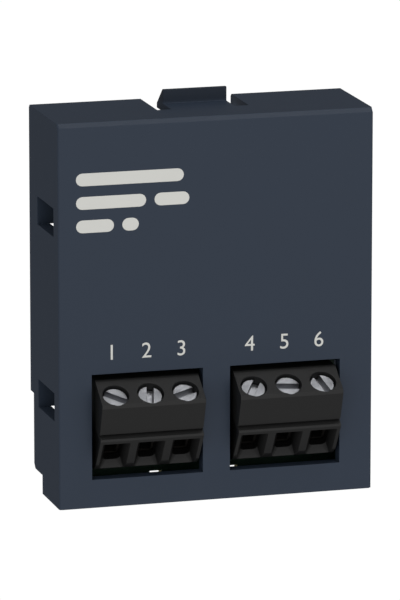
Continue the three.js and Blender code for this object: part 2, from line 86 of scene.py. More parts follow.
class Shader:
    """A node material under construction."""

    def __init__(self, name):
        self.material = bpy.data.materials.new(name)
        self.material.use_nodes = True
        self.nodes = self.material.node_tree.nodes
        self.links = self.material.node_tree.links
        self.surface = self.nodes["Principled BSDF"]
        self.place = self.node("ShaderNodeTexCoord").outputs["Object"]

    def node(self, kind, **settings):
        made = self.nodes.new(kind)
        for key, value in settings.items():
            setattr(made, key, value)
        return made

    def link(self, source, target):
        self.links.new(source, target)

    def set(self, **values):
        for key, value in values.items():
            self.surface.inputs[key.replace("_", " ")].default_value = value

    def noise(self, size, detail=3.0, roughness=0.5):
        """Smooth noise whose lumps are about size metres."""
        noise = self.node("ShaderNodeTexNoise")
        noise.inputs["Scale"].default_value = 1.0 / size
        noise.inputs["Detail"].default_value = detail
        noise.inputs["Roughness"].default_value = roughness
        self.link(self.place, noise.inputs["Vector"])
        return noise.outputs["Fac"]

    def span(self, value, low, high):
        """A value from 0 to 1, mapped to low to high."""
        ramp = self.node("ShaderNodeMapRange")
        ramp.inputs["To Min"].default_value = low
        ramp.inputs["To Max"].default_value = high
        self.link(value, ramp.inputs["Value"])
        return ramp.outputs["Result"]

    def along(self, axis, start, end):
        """0 at start and 1 at end, measured along an axis of the piece."""
        dot = self.node("ShaderNodeVectorMath", operation="DOT_PRODUCT")
        dot.inputs[1].default_value = axis
        self.link(self.place, dot.inputs[0])
        ramp = self.node("ShaderNodeMapRange")
        ramp.inputs["From Min"].default_value = start
        ramp.inputs["From Max"].default_value = end
        self.link(dot.outputs["Value"], ramp.inputs["Value"])
        return ramp.outputs["Result"]

    def math(self, operation, first, second=None):
        step = self.node("ShaderNodeMath", operation=operation)
        for index, value in enumerate((first, second)):
            if value is None:
                continue
            if isinstance(value, (int, float)):
                step.inputs[index].default_value = value
            else:
                self.link(value, step.inputs[index])
        return step.outputs["Value"]

    def mix(self, factor, first, second):
        """A colour between two colours."""
        blend = self.node("ShaderNodeMix", data_type="RGBA")
        sockets = (blend.inputs[0], blend.inputs[6], blend.inputs[7])
        for socket, value in zip(sockets, (factor, first, second)):
            if isinstance(value, (int, float)):
                socket.default_value = value
            elif isinstance(value, tuple):
                socket.default_value = (*value, 1.0)
            else:
                self.link(value, socket)
        return blend.outputs[2]

    def bump(self, height, distance, strength=1.0, below=None):
        bump = self.node("ShaderNodeBump")
        bump.inputs["Strength"].default_value = strength
        bump.inputs["Distance"].default_value = distance
        self.link(height, bump.inputs["Height"])
        if below is not None:
            self.link(below, bump.inputs["Normal"])
        return bump.outputs["Normal"]

    def edge(self, radius):
        """The normal of softened edges, and a value of 1 on sharp edges and 0 on flat faces."""
        bevel = self.node("ShaderNodeBevel", samples=6)
        bevel.inputs["Radius"].default_value = radius
        flat = self.node("ShaderNodeNewGeometry").outputs["Normal"]
        dot = self.node("ShaderNodeVectorMath", operation="DOT_PRODUCT")
        self.link(bevel.outputs["Normal"], dot.inputs[0])
        self.link(flat, dot.inputs[1])
        turned = self.math("SUBTRACT", 1.0, dot.outputs["Value"])
        sharp = self.math("MULTIPLY", turned, 6.0)
        return bevel.outputs["Normal"], self.math("MINIMUM", sharp, 1.0)


def scaled(colour, factor):
    return tuple(channel * factor for channel in colour)


def moulded(name, colour, roughness, grain, relief, specular, edge_wear_and_highlight=1.35, painted_shade=None):
    """Moulded plastic with a spark-eroded grain, paler on its edges: partly edge wear, partly a painted
    highlight.

    The colour darkens into painted shade where every ramp of painted_shade is 1: each is an axis, the place
    where it starts and the place where it ends. The last item of painted_shade is how far the colour falls.
    """
    shader = Shader(name)
    cloud = shader.noise(6 * MM, detail=4)
    tint = shader.mix(cloud, scaled(colour, 0.95), scaled(colour, 1.05))
    # Painted shade: where every ramp is 1, the colour darkens to stand in for shade.
    if painted_shade:
        *ramps, depth = painted_shade
        amount = shader.along(*ramps[0])
        for ramp in ramps[1:]:
            amount = shader.math("MULTIPLY", shader.along(*ramp), amount)
        tint = shader.mix(amount, tint, scaled(colour, depth))
    fine = shader.noise(grain, detail=2)
    speckled = shader.mix(shader.math("MULTIPLY", fine, 0.25), tint, scaled(colour, 1.2))
    # Sharp edges are made paler: partly edge wear, partly a painted highlight.
    softened, sharp = shader.edge(0.06 * MM)
    edged = shader.mix(shader.math("MULTIPLY", sharp, 0.5), speckled, scaled(colour, edge_wear_and_highlight))
    shader.link(edged, shader.surface.inputs["Base Color"])
    shader.link(shader.span(cloud, roughness - 0.05, roughness + 0.05), shader.surface.inputs["Roughness"])
    shader.link(shader.bump(fine, relief, below=softened), shader.surface.inputs["Normal"])
    shader.set(Specular_IOR_Level=specular)
    return shader.material


def metal(name, colour, roughness, grain=0.05 * MM, relief=0.004 * MM):
    """Plated metal with faint scuffs."""
    shader = Shader(name)
    scuffs = shader.noise(0.5 * MM, detail=5)
    tint = shader.mix(scuffs, scaled(colour, 0.86), colour)
    shader.link(tint, shader.surface.inputs["Base Color"])
    shader.link(shader.span(scuffs, roughness - 0.06, roughness + 0.1), shader.surface.inputs["Roughness"])
    shader.link(shader.bump(shader.noise(grain), relief), shader.surface.inputs["Normal"])
    shader.set(Metallic=1.0)
    return shader.material


def turned_metal(name, colour, roughness, painted_light_low, painted_light_high):
    """Plated steel turned on a lathe: fine rings round its own Z axis, and painted light on the slot's floor,
    a plain 0.7 of the colour below one height, giving way to scuffs above a second.
    """
    shader = Shader(name)
    split = shader.node("ShaderNodeSeparateXYZ")
    shader.link(shader.place, split.inputs["Vector"])
    square = shader.math("ADD", shader.math("MULTIPLY", split.outputs["X"], split.outputs["X"]),
                         shader.math("MULTIPLY", split.outputs["Y"], split.outputs["Y"]))
    radius = shader.math("SQRT", square)
    turns = 2 * math.pi / (0.09 * MM)
    rings = shader.math("SINE", shader.math("MULTIPLY", radius, turns))
    ringed = shader.span(rings, 0.0, 1.0)
    scuffs = shader.noise(0.6 * MM, detail=5)
    # Painted light: below one height the slot's floor takes a plain 0.7 of the colour.
    depth = shader.node("ShaderNodeMapRange")
    depth.inputs["From Min"].default_value = painted_light_low
    depth.inputs["From Max"].default_value = painted_light_high
    shader.link(split.outputs["Z"], depth.inputs["Value"])
    scratched = shader.mix(scuffs, scaled(colour, 0.35), scaled(colour, 0.75))
    tint = shader.mix(depth.outputs["Result"], scaled(colour, 0.7), scratched)
    shader.link(tint, shader.surface.inputs["Base Color"])
    shader.link(shader.span(scuffs, roughness - 0.06, roughness + 0.12), shader.surface.inputs["Roughness"])
    ring_normal = shader.bump(ringed, 0.006 * MM, 0.5)
    worn = shader.bump(shader.noise(0.12 * MM, detail=3), 0.012 * MM, 0.6, below=ring_normal)
    shader.link(worn, shader.surface.inputs["Normal"])
    shader.set(Metallic=1.0)
    return shader.material


def solder_mask(name, colour, roughness=0.42):
    """Lacquered board face, with the glass weave faintly showing."""
    shader = Shader(name)
    wave = shader.node("ShaderNodeTexWave", wave_type="BANDS", bands_direction="X")
    wave.inputs["Scale"].default_value = 1.0 / (1.2 * MM)
    cross = shader.node("ShaderNodeTexWave", wave_type="BANDS", bands_direction="Z")
    cross.inputs["Scale"].default_value = 1.0 / (1.2 * MM)
    for texture in (wave, cross):
        shader.link(shader.place, texture.inputs["Vector"])
    weave = shader.math("MULTIPLY", wave.outputs["Fac"], cross.outputs["Fac"])
    cloud = shader.noise(4 * MM, detail=3)
    base = shader.mix(cloud, scaled(colour, 0.9), scaled(colour, 1.1))
    tint = shader.mix(shader.math("MULTIPLY", weave, 0.25), base, scaled(colour, 1.3))
    shader.link(tint, shader.surface.inputs["Base Color"])
    shader.link(shader.span(cloud, roughness - 0.05, roughness + 0.08), shader.surface.inputs["Roughness"])
    shader.link(shader.bump(weave, 0.006 * MM), shader.surface.inputs["Normal"])
    shader.set(Specular_IOR_Level=0.3)
    return shader.material


HEAD_RADIUS = 1.35 * MM
HEAD_TOP = 5.6 * MM
HEAD_LOW = 4.35 * MM
SHANK_RADIUS = 0.9 * MM
SHANK_TIP = 1.25 * MM
SLOT_WIDTH = 0.7 * MM
SLOT_DEPTH = 0.72 * MM
SLOT_ANGLES = (-33, 77, 19.5, 58, -5, -72)
SCREW_PITCH = 0.4 * MM

# The directions of the wires and the screws in the terminals, and where the clamps stand along them.
WIRE_TILT = math.radians(34)
WIRE_AXIS = (0.0, math.cos(WIRE_TILT), math.sin(WIRE_TILT))
CLAMP_PLACE = Vector(JOINTS["screw_1_turn"]["pos_m"])
CLAMP_DEPTH = CLAMP_PLACE.dot(Vector(WIRE_AXIS))
SCREW_AXIS = (0.0, -math.sin(WIRE_TILT), math.cos(WIRE_TILT))
CLAMP_HEIGHT = CLAMP_PLACE.dot(Vector(SCREW_AXIS))

HOUSING_COLOUR = (0.0235, 0.0335, 0.0520)
HOUSING_PLASTIC = moulded("housing_plastic", HOUSING_COLOUR, 0.46, 0.14 * MM, 0.004 * MM, 0.16)
# Painted shade: the hook's colour darkens above the top wall.
HOOK_PAINTED_SHADE = [
    ((0.0, 0.0, 1.0), HOUSING_HIGH.z + 0.05 * MM, HOUSING_HIGH.z + 0.35 * MM),
    0.62,
]
CLIP_PLASTIC = moulded("clip_plastic", HOUSING_COLOUR, 0.46, 0.14 * MM, 0.004 * MM, 0.16, painted_shade=HOOK_PAINTED_SHADE)
# Painted shade: the entries' colour darkens on their way in.
ENTRY_PAINTED_SHADE = [
    (WIRE_AXIS, CLAMP_DEPTH - 2.95 * MM, CLAMP_DEPTH - 2.35 * MM),
    (SCREW_AXIS, CLAMP_HEIGHT + 1.95 * MM, CLAMP_HEIGHT + 1.8 * MM),
    0.15,
]
# Its edges are paler still: edge wear and a painted highlight on the lips and brow.
TERMINAL_PLASTIC = moulded("terminal_plastic", (0.0105, 0.0105, 0.0105), 0.40, 0.10 * MM, 0.003 * MM, 0.2,
                           edge_wear_and_highlight=2.0, painted_shade=ENTRY_PAINTED_SHADE)
CONNECTOR_PLASTIC = moulded("connector_plastic", (0.014, 0.014, 0.015), 0.5, 0.10 * MM, 0.006 * MM, 0.35)
CHIP_PLASTIC = moulded("chip_plastic", (0.018, 0.018, 0.020), 0.62, 0.06 * MM, 0.006 * MM, 0.35)
TANTALUM_CASE = moulded("tantalum_case", (0.56, 0.30, 0.045), 0.5, 0.10 * MM, 0.004 * MM, 0.4)
CERAMIC_BODY = moulded("ceramic_body", (0.36, 0.24, 0.13), 0.6, 0.05 * MM, 0.003 * MM, 0.4)
RESISTOR_TOP = moulded("resistor_top", (0.02, 0.02, 0.024), 0.4, 0.05 * MM, 0.002 * MM, 0.5)
FERRITE = moulded("ferrite", (0.055, 0.055, 0.060), 0.7, 0.12 * MM, 0.02 * MM, 0.4)
COIL_TAPE = moulded("coil_tape", (0.62, 0.42, 0.06), 0.35, 0.20 * MM, 0.004 * MM, 0.5)
BOARD_EDGE = moulded("board_edge", (0.20, 0.19, 0.09), 0.75, 0.08 * MM, 0.03 * MM, 0.3)
PRINT_INK = moulded("print_ink", (0.58, 0.58, 0.55), 0.6, 0.05 * MM, 0.002 * MM, 0.3)
SILK_INK = moulded("silk_ink", (0.72, 0.73, 0.70), 0.7, 0.05 * MM, 0.003 * MM, 0.3)
# The two heights mark where the painted light on the slot's floor gives way to the scuffed head.
SCREW_STEEL = turned_metal("screw_steel", (0.56, 0.57, 0.60), 0.34,
                           HEAD_TOP - SLOT_DEPTH, HEAD_TOP - 0.1 * MM)
# Painted shade: the plated cage is given a near black colour, standing in for the shade inside the block.
CAGE_PAINTED_SHADE_METAL = metal("cage_metal", (0.028, 0.026, 0.024), 0.55)
TIN = metal("tin", (0.70, 0.70, 0.71), 0.28)
GOLD = metal("gold", (0.90, 0.66, 0.28), 0.22)
COPPER_WIRE = metal("copper_wire", (0.72, 0.30, 0.12), 0.3)
BOARD_MASK = solder_mask("board_mask", (0.003, 0.026, 0.012))
TRACK_MASK = solder_mask("track_mask", (0.010, 0.075, 0.034), 0.38)


# ---------------------------------------------------------------- mesh helpers


def make_piece(name, mesh_data, materials, body, replaced=(), smooth=35.0):
    """Finishes a bmesh as a piece that rides on a body."""
    mesh = bpy.data.meshes.new(name)
    mesh_data.to_mesh(mesh)
    mesh_data.free()
    for material in materials:
        mesh.materials.append(material)
    mesh.shade_smooth()
    mesh.set_sharp_from_angle(angle=math.radians(smooth))
    piece = bpy.data.objects.new(name, mesh)
    bpy.context.scene.collection.objects.link(piece)
    weighted = piece.modifiers.new("weighted", "WEIGHTED_NORMAL")
    weighted.keep_sharp = True
    if body:
        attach(piece, body)
    if replaced:
        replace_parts(piece, *replaced)
    return piece


def cad_shape(node):
    """A CAD node's shape with its flat faces made whole again."""
    shape = bmesh.new()
    shape.from_mesh(frame["nodes"][node].data)
    bmesh.ops.remove_doubles(shape, verts=shape.verts, dist=1e-6)
    flat = math.radians(0.6)
    bmesh.ops.dissolve_limit(shape, angle_limit=flat, verts=shape.verts, edges=shape.edges)
    for face in shape.faces:
        face.material_index = 0
    return shape


def round_edges(shape, width, segments=2, sharp=28.0, chosen=None):
    """Rounds the edges sharper than an angle, or those of them that chosen picks."""
    limit = math.radians(sharp)
    edges = []
    for edge in shape.edges:
        if len(edge.link_faces) == 2 and edge.calc_face_angle(0.0) > limit:
            if chosen is None or chosen(edge):
                edges.append(edge)
    bmesh.ops.bevel(shape, geom=edges, offset=width, segments=segments, profile=0.5,
                    affect="EDGES", clamp_overlap=True, miter_outer="ARC")


def middle(edge):
    return (edge.verts[0].co + edge.verts[1].co) / 2


def bridge(shape, lower, upper):
    """Joins two rings of vertices with faces and returns them."""
    following = [*range(1, len(lower)), 0]
    return [shape.faces.new((lower[a], lower[b], upper[b], upper[a])) for a, b in enumerate(following)]


def add_prism(shape, outline, start, end):
    """Adds an outline of points, moved by start and by end, with both ends closed."""
    rings = [[shape.verts.new(Vector(point) + Vector(move)) for point in outline] for move in (start, end)]
    shape.faces.new(rings[0])
    shape.faces.new(reversed(rings[1]))
    bridge(shape, rings[1], rings[0])


def add_lathe(shape, profile, place, axis, segments=32):
    """Adds a profile of (radius, height) points turned round an axis through a place."""
    turn = Vector((0, 0, 1)).rotation_difference(Vector(axis)).to_matrix()
    rings = []
    for radius, height in profile:
        ring = []
        for step in range(segments):
            angle = 2 * math.pi * step / segments
            point = Vector((radius * math.cos(angle), radius * math.sin(angle), height))
            ring.append(shape.verts.new(turn @ point + Vector(place)))
        rings.append(ring)
    for lower, upper in zip(rings, rings[1:]):
        bridge(shape, lower, upper)
    shape.faces.new(reversed(rings[0]))
    shape.faces.new(rings[-1])


def disc(radius, top):
    """The profile of a flat disc that starts just under the face it lies on."""
    return [(radius, -0.01 * MM), (radius, top)]


def even(value):
    return -value, value


def one_side(side, first, second):
    """Two values on one side of zero, the lower of them first. The side is -1 or 1."""
    return sorted((side * first, side * second))


def face_outward(shape):
    bmesh.ops.recalc_face_normals(shape, faces=shape.faces)


# ---------------------------------------------------------------- housing and clip


def build_housing():
    """The shell: its front upright edges are rounder than its other edges."""
    shape = cad_shape("front_housing")
    side = HOUSING_HIGH.x - 0.01 * MM
    near = 0.01 * MM

    def front_upright(edge):
        spot = middle(edge)
        upright = abs(edge.verts[0].co.x - edge.verts[1].co.x) < near
        return upright and abs(spot.x) > side and spot.y < FRONT_Y + 0.5 * MM

    def outer(edge):
        spot = middle(edge)
        window = spot.y < FRONT_Y + near and abs(spot.x) < side and spot.z < HOUSING_LOW.z + 15 * MM
        on_side = abs(spot.x) > side
        on_end = spot.z > HOUSING_HIGH.z - near or spot.z < HOUSING_LOW.z + near
        return not window and (on_side or on_end or spot.y < FRONT_Y + near)

    round_edges(shape, 0.22 * MM, 3, chosen=front_upright)
    round_edges(shape, 0.09 * MM, 2, sharp=35.0, chosen=outer)
    face_outward(shape)
    return make_piece("housing_shell", shape, [HOUSING_PLASTIC], "module", ["front_housing"])


def build_clip():
    """The tongue, rooted in the top wall, and its hook, with ten short steps along its root."""
    low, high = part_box("locking_clip")
    top = HOUSING_HIGH.z + 0.003 * MM
    hinge = Vector(JOINTS["clip_press"]["pos_m"])
    root = hinge.y - 0.42 * MM
    reach = high.y - hinge.y
    catch = hinge.y + 2.88 * MM
    apex = hinge.y + 3.3 * MM
    nose = 0.56 * MM
    outline = [(root, top)]
    steps = 10
    bend_end = hinge.y + 1.6 * MM
    for step in range(1, steps + 1):
        outline.append((root + (bend_end - root) * step / steps, top))
    outline += [(catch, top), (catch, high.z), (apex, high.z), (hinge.y + reach, low.z + nose)]
    outline += [(hinge.y + reach, low.z)]
    for step in range(steps, -1, -1):
        outline.append((root + (bend_end - root) * step / steps, low.z))
    shape = bmesh.new()
    points = [(0.0, y, z) for y, z in outline]
    add_prism(shape, points, (low.x, 0, 0), (high.x, 0, 0))
    face_outward(shape)

    def rounded(edge):
        return middle(edge).y > root + 0.02 * MM

    round_edges(shape, 0.08 * MM, 2, sharp=25.0, chosen=rounded)
    piece = make_piece("clip_tongue", shape, [CLIP_PLASTIC], None, ["locking_clip"])
    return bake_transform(piece)


# ---------------------------------------------------------------- printed marks


def add_mark(shape, x0, x1, z0, z1):
    """Adds a printed bar with round ends to the front face."""
    radius = (z1 - z0) / 2
    steps = 8
    outline = []
    for centre, first in ((x1 - radius, -90), (x0 + radius, 90)):
        for step in range(steps + 1):
            angle = math.radians(first + 180 * step / steps)
            outline.append((centre + radius * math.cos(angle), 0, z0 + radius + radius * math.sin(angle)))
    add_prism(shape, outline, (0, FRONT_Y - 0.012 * MM, 0), (0, FRONT_Y + 0.03 * MM, 0))


def build_printed_bars():
    """Plain bars, in place of the printed lines."""
    shape = bmesh.new()
    left = HOUSING_LOW.x + 1.95 * MM
    rows = [(34.72, [(0, 11.7)]), (32.22, [(0, 7.6), (8.5, 12.3)]), (29.72, [(0, 4.1), (5.0, 6.8)])]
    for low, bars in rows:
        for start, end in bars:
            add_mark(shape, left + start * MM, left + end * MM, low * MM, (low + 1.36) * MM)
    face_outward(shape)
    return make_piece("printed_bars", shape, [PRINT_INK], "module")


def build_way_numbers():
    """The number of each terminal way, printed above it."""
    for number, x in enumerate(WAY_X, start=1):
        curve = bpy.data.curves.new(f"way_number_{number}", "FONT")
        curve.body = str(number)
        curve.size = 2.35 * MM
        curve.align_x = "CENTER"
        curve.extrude = 0.02 * MM
        text = bpy.data.objects.new(f"way_number_{number}", curve)
        bpy.context.scene.collection.objects.link(text)
        text.rotation_euler = (math.pi / 2, 0, 0)
        text.location = (x, FRONT_Y + 0.008 * MM, 15.95 * MM)
        curve.materials.append(PRINT_INK)
        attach(text, "module")


# ---------------------------------------------------------------- terminals


def dress(node, material):
    """Gives a CAD node, whose shape is right as it is, its material."""
    for slot in frame["nodes"][node].material_slots:
        slot.material = material


def clamp_frame(number):
    """The place and turn of one clamp: Z along the screw, out of the block."""
    joint = JOINTS[f"screw_{number}_turn"]
    out = -Vector(joint["axis"])
    across = Vector((1, 0, 0))
    depth = out.cross(across)
    turn = Matrix((across, depth, out)).transposed().to_4x4()
    return Matrix.Translation(Vector(joint["pos_m"])) @ turn


def screw_thread(shape):
    """Adds the shank, with its thread as one helical ridge."""
    core = SHANK_RADIUS - 0.2 * MM
    segments = 24
    turns = (HEAD_LOW - SHANK_TIP - 0.3 * MM) / SCREW_PITCH
    rings_per_turn = 6
    rows = int(turns * rings_per_turn)
    previous = None
    first = None
    for row in range(rows + 1):
        ring = []
        for step in range(segments):
            angle = 2 * math.pi * step / segments
            height = SHANK_TIP + 0.15 * MM + row * SCREW_PITCH / rings_per_turn
            phase = (height / SCREW_PITCH - step / segments) % 1.0
            radius = core + 0.2 * MM * (1 - abs(2 * phase - 1))
            ring.append(shape.verts.new((radius * math.cos(angle), radius * math.sin(angle), height)))
        if previous:
            bridge(shape, previous, ring)
        else:
            first = ring
        previous = ring
    tip = [shape.verts.new((vert.co.x * 0.75, vert.co.y * 0.75, SHANK_TIP)) for vert in first]
    bridge(shape, tip, first)
    shape.faces.new(reversed(tip))
    shape.faces.new(previous)


def screw_head(shape, angle):
    """Adds the slotted head: two half discs on a solid base."""
    floor = HEAD_TOP - SLOT_DEPTH
    chamfer = 0.12 * MM
    half = SLOT_WIDTH / 2
    segments = 40
    profile = [
        (HEAD_RADIUS - 0.05 * MM, HEAD_LOW),
        (HEAD_RADIUS, HEAD_LOW + 0.05 * MM),
        (HEAD_RADIUS, floor),
    ]
    add_lathe(shape, profile, (0, 0, 0), (0, 0, 1), 64)
    # Radius, height and half the slot's width at each level of a half disc.
    levels = [
        (HEAD_RADIUS, floor - 0.01 * MM, half),
        (HEAD_RADIUS, HEAD_TOP - chamfer, half),
        (HEAD_RADIUS - chamfer, HEAD_TOP, half + 0.04 * MM),
    ]
    turn = Matrix.Rotation(math.radians(angle), 4, "Z")
    for side in (1, -1):
        rings = []
        for radius, height, gap in levels:
            open_angle = math.asin(gap / radius)
            ring = []
            for step in range(segments + 1):
                at = open_angle + (math.pi - 2 * open_angle) * step / segments
                point = Vector((radius * math.cos(at), side * radius * math.sin(at), height))
                ring.append(shape.verts.new(turn @ point))
            rings.append(ring)
        for lower, upper in zip(rings, rings[1:]):
            bridge(shape, lower, upper)
        shape.faces.new(rings[0])
        shape.faces.new(rings[-1])


def build_screw(number):
    shape = bmesh.new()
    screw_head(shape, SLOT_ANGLES[number - 1])
    screw_thread(shape)
    face_outward(shape)
    node = f"clamp_screw_{number}"
    piece = make_piece(f"screw_{number}", shape, [SCREW_STEEL], None)
    piece.matrix_world = clamp_frame(number)
    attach(piece, node)
    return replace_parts(piece, node)


# ---------------------------------------------------------------- board


def build_board():
    """The bare board: lacquer on both faces, raw laminate on its edges and in its holes."""
    shape = cad_shape("circuit_board")
    for face in shape.faces:
        lacquered = abs(face.normal.y) > 0.9
        face.material_index = 0 if lacquered else 1
    return make_piece("board", shape, [BOARD_MASK, BOARD_EDGE], "module", ["circuit_board"])


def pin_middle(node):
    """Where a contact's solder pin leaves the board: the middle of its rearmost vertices."""
    vertices = frame["nodes"][node].data.vertices
    rear = max(vertex.co.y for vertex in vertices)
    tip = [vertex.co for vertex in vertices if vertex.co.y > rear - 0.01 * MM]
    return [(min(co[axis] for co in tip) + max(co[axis] for co in tip)) / 2 for axis in (0, 2)]


def build_solder():
    """A solder cone round each pin, where it comes out of the board."""
    shape = bmesh.new()
    radius, height = 1.25 * MM, 1.0 * MM
    profile = [(radius, -0.005 * MM), (radius, 0.02 * MM), (radius * 0.82, height * 0.12),
               (radius * 0.62, height * 0.35), (radius * 0.5, height * 0.7), (radius * 0.42, height)]
    for node in PINS:
        x, z = pin_middle(node)
        add_lathe(shape, profile, (x, BOARD_REAR, z), (0, 1, 0), 28)
    face_outward(shape)
    return make_piece("solder_cones", shape, [TIN], "module")


LIFT_PER_FACE = 2e-5 * MM


def add_track(shape, points, width):
    """Adds a flat copper track along points in millimetres on the rear face.

    Each stretch stands a little higher than the one before, so that no two lie in one plane.
    """
    half = width * MM / 2
    for (x0, z0), (x1, z1) in zip(points, points[1:]):
        lift = 0.02 * MM + len(shape.faces) * LIFT_PER_FACE
        start, end = Vector((x0 * MM, z0 * MM)), Vector((x1 * MM, z1 * MM))
        along = (end - start).normalized()
        across = Vector((-along.y, along.x)) * half
        tip = along * half * 0.41
        corners = [start - tip + across, end + tip + across, end + tip - across, start - tip - across]
        outline = [(corner.x, BOARD_REAR, corner.y) for corner in corners]
        add_prism(shape, outline, (0, -0.01 * MM, 0), (0, lift, 0))


def elbow(x0, z0, x1, z1):
    """A track from one point to another, with one slanted stretch in the middle."""
    dx, dz = x1 - x0, z1 - z0
    slant = min(abs(dx), abs(dz))
    if slant < 0.05:
        return [(x0, z0), (x1, z1)]
    if abs(dz) >= abs(dx):
        turn = (abs(dz) - slant) / 2
        sign = math.copysign(1, dz)
        stops = [(x0, z0), (x0, z0 + sign * turn), (x1, z1 - sign * turn), (x1, z1)]
    else:
        turn = (abs(dx) - slant) / 2
        sign = math.copysign(1, dx)
        stops = [(x0, z0), (x0 + sign * turn, z0), (x1 - sign * turn, z1), (x1, z1)]
    if turn < 0.05:
        return [stops[0], stops[3]]
    return stops


class Seat:
    """A place on a face of the board: u to the right, v up, and w out of the face. All in metres."""

    def __init__(self, x, z, rear=True, turned=False):
        self.x, self.z = x, z
        self.out = 1 if rear else -1
        self.surface = BOARD_REAR if rear else BOARD_FRONT
        self.turned = turned

    def point(self, u, v, w):
        if self.turned:
            u, v = v, u
        return Vector((self.x + u, self.surface + self.out * w, self.z + v))

    def block(self, shape, u, v, w, material=0, rounding=0.0, draft=0.0):
        """Adds a box between two values along each axis. Its far end is smaller by draft."""
        made = bmesh.ops.create_cube(shape, size=2.0)["verts"]
        faces = {face for vert in made for face in vert.link_faces}
        for face in faces:
            face.material_index = material
        for vert in made:
            far = vert.co.z > 0
            ends = []
            for index, (low, high) in enumerate((u, v)):
                high_end = vert.co[index] > 0
                inset = draft if far else 0.0
                ends.append(high - inset if high_end else low + inset)
            vert.co = self.point(ends[0], ends[1], w[1] if far else w[0])
        if rounding:
            edges = list({edge for vert in made for edge in vert.link_edges})
            bmesh.ops.bevel(shape, geom=edges, offset=rounding, segments=2, profile=0.5, affect="EDGES")


def seat_of(node):
    """A component's seat, its half length and half width, and its height above the board."""
    low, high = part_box(node)
    rear = low.y > BOARD_FRONT
    tall = high.y - BOARD_REAR if rear else BOARD_FRONT - low.y
    middle_x, middle_z = (low.x + high.x) / 2, (low.z + high.z) / 2
    return Seat(middle_x, middle_z, rear), (high.x - low.x) / 2, (high.z - low.z) / 2, tall


def add_leg(shape, seat, u, width, edge, side, knee):
    """Adds a bent chip leg: out of the body, down, and flat on its pad."""
    thick = 0.15 * MM
    foot = SOLDER_GAP
    steps = [
        (-0.1, knee + thick / 2), (0.24, knee + thick / 2), (0.36, knee), (0.50, foot + thick + 0.1 * MM),
        (0.60, foot + thick), (0.88, foot + thick), (0.88, foot), (0.54, foot), (0.40, foot + 0.06 * MM),
        (0.26, knee - thick * 0.7), (0.18, knee - thick / 2), (-0.1, knee - thick / 2),
    ]
    outline = [(side * (edge + out * MM), w) for out, w in steps]
    rings = []
    for end in (u - width / 2, u + width / 2):
        rings.append([shape.verts.new(seat.point(end, v, w)) for v, w in outline])
    near, far = rings
    made = [shape.faces.new(near), shape.faces.new(reversed(far))]
    for face in made + bridge(shape, far, near):
        face.material_index = 1


LEG_REACH = 0.9 * MM
SOLDER_GAP = 0.15 * MM
# How many legs a chip has on each side, their pitch and their width, in millimetres.
CHIPS = {
    "isolator_chip": (8, 1.27, 0.4),
    "converter_chip": (8, 0.65, 0.25),
    "amplifier_chip": (4, 1.27, 0.4),
    "memory_chip": (4, 1.27, 0.4),
    "regulator_chip": (3, 2.3, 0.7),
}


def build_chip(node):
    """A moulded chip with bent legs, and a dimple at its first leg."""
    count, pitch, leg_width = CHIPS[node]
    seat, half_length, half_width, tall = seat_of(node)
    edge = half_width - LEG_REACH
    knee = SOLDER_GAP + (tall - SOLDER_GAP) * 0.5
    shape = bmesh.new()
    low, draft = SOLDER_GAP + 0.1 * MM, 0.1 * MM
    seat.block(shape, even(half_length), even(edge), (knee, tall), 0, 0.03 * MM, draft)
    seat.block(shape, even(half_length), even(edge), (knee, low), 0, 0.03 * MM, draft)
    dimple = seat.point(-half_length + 0.8 * MM, -edge + 0.8 * MM, tall)
    ring = 0.32 * MM
    profile = [(ring, -0.01 * MM), (ring, 0.004 * MM), (ring * 0.8, 0.004 * MM), (ring * 0.7, -0.002 * MM)]
    add_lathe(shape, profile, dimple, (0, seat.out, 0), 20)
    for side in (-1, 1):
        for leg in range(count):
            add_leg(shape, seat, (leg - (count - 1) / 2) * pitch * MM, leg_width * MM, edge, side, knee)
    face_outward(shape)
    return make_piece(f"{node}_body", shape, [CHIP_PLASTIC, TIN], "module", [node])


# The case, the length of a cap in millimetres, and the slot of each two-ended component.
TWO_ENDED = {
    **{f"storage_capacitor_{number}": (TANTALUM_CASE, 0.8, "tantalum") for number in range(1, 4)},
    **{f"suppressor_{side}": (CHIP_PLASTIC, 1.0, "chip") for side in ("left", "right")},
    **{f"ceramic_capacitor_{number}": (CERAMIC_BODY, 0.6, "ceramic") for number in range(1, 5)},
}


def add_capped(shape, seat, half_length, half_width, tall, cap, low=SOLDER_GAP):
    """Adds a ceramic block between two tinned caps."""
    length = even(half_length - 0.05 * MM)
    width = even(half_width - 0.03 * MM)
    seat.block(shape, length, width, (low + 0.02 * MM, tall - 0.03 * MM), 0, 0.03 * MM)
    for side in (-1, 1):
        span = one_side(side, half_length, half_length - cap)
        seat.block(shape, span, even(half_width), (low, tall), 1, 0.05 * MM)


def add_strapped(shape, seat, half_length, half_width, tall, cap):
    """Adds a moulded case on two folded straps, with a pale bar at one end."""
    body = half_length - cap / 2
    waist = SOLDER_GAP + (tall - SOLDER_GAP) * 0.5
    for far in (tall, SOLDER_GAP + 0.06 * MM):
        seat.block(shape, even(body), even(half_width), (waist, far), 0, 0.04 * MM, 0.09 * MM)
    strap = half_width * 0.62
    for side in (-1, 1):
        outer = one_side(side, half_length, half_length - 0.14 * MM)
        foot = one_side(side, half_length, body - 0.5 * MM)
        neck = one_side(side, half_length, body - 0.1 * MM)
        seat.block(shape, outer, even(strap), (SOLDER_GAP, waist + 0.05 * MM), 1, 0.03 * MM)
        seat.block(shape, neck, even(strap), (waist - 0.09 * MM, waist + 0.05 * MM), 1, 0.03 * MM)
        seat.block(shape, foot, even(strap), (SOLDER_GAP, SOLDER_GAP + 0.12 * MM), 1, 0.03 * MM)
    bar = (-body + 0.16 * MM, -body + 0.5 * MM)
    width = even(half_width - 0.14 * MM)
    seat.block(shape, bar, width, (tall - 0.02 * MM, tall + 0.004 * MM), 2)


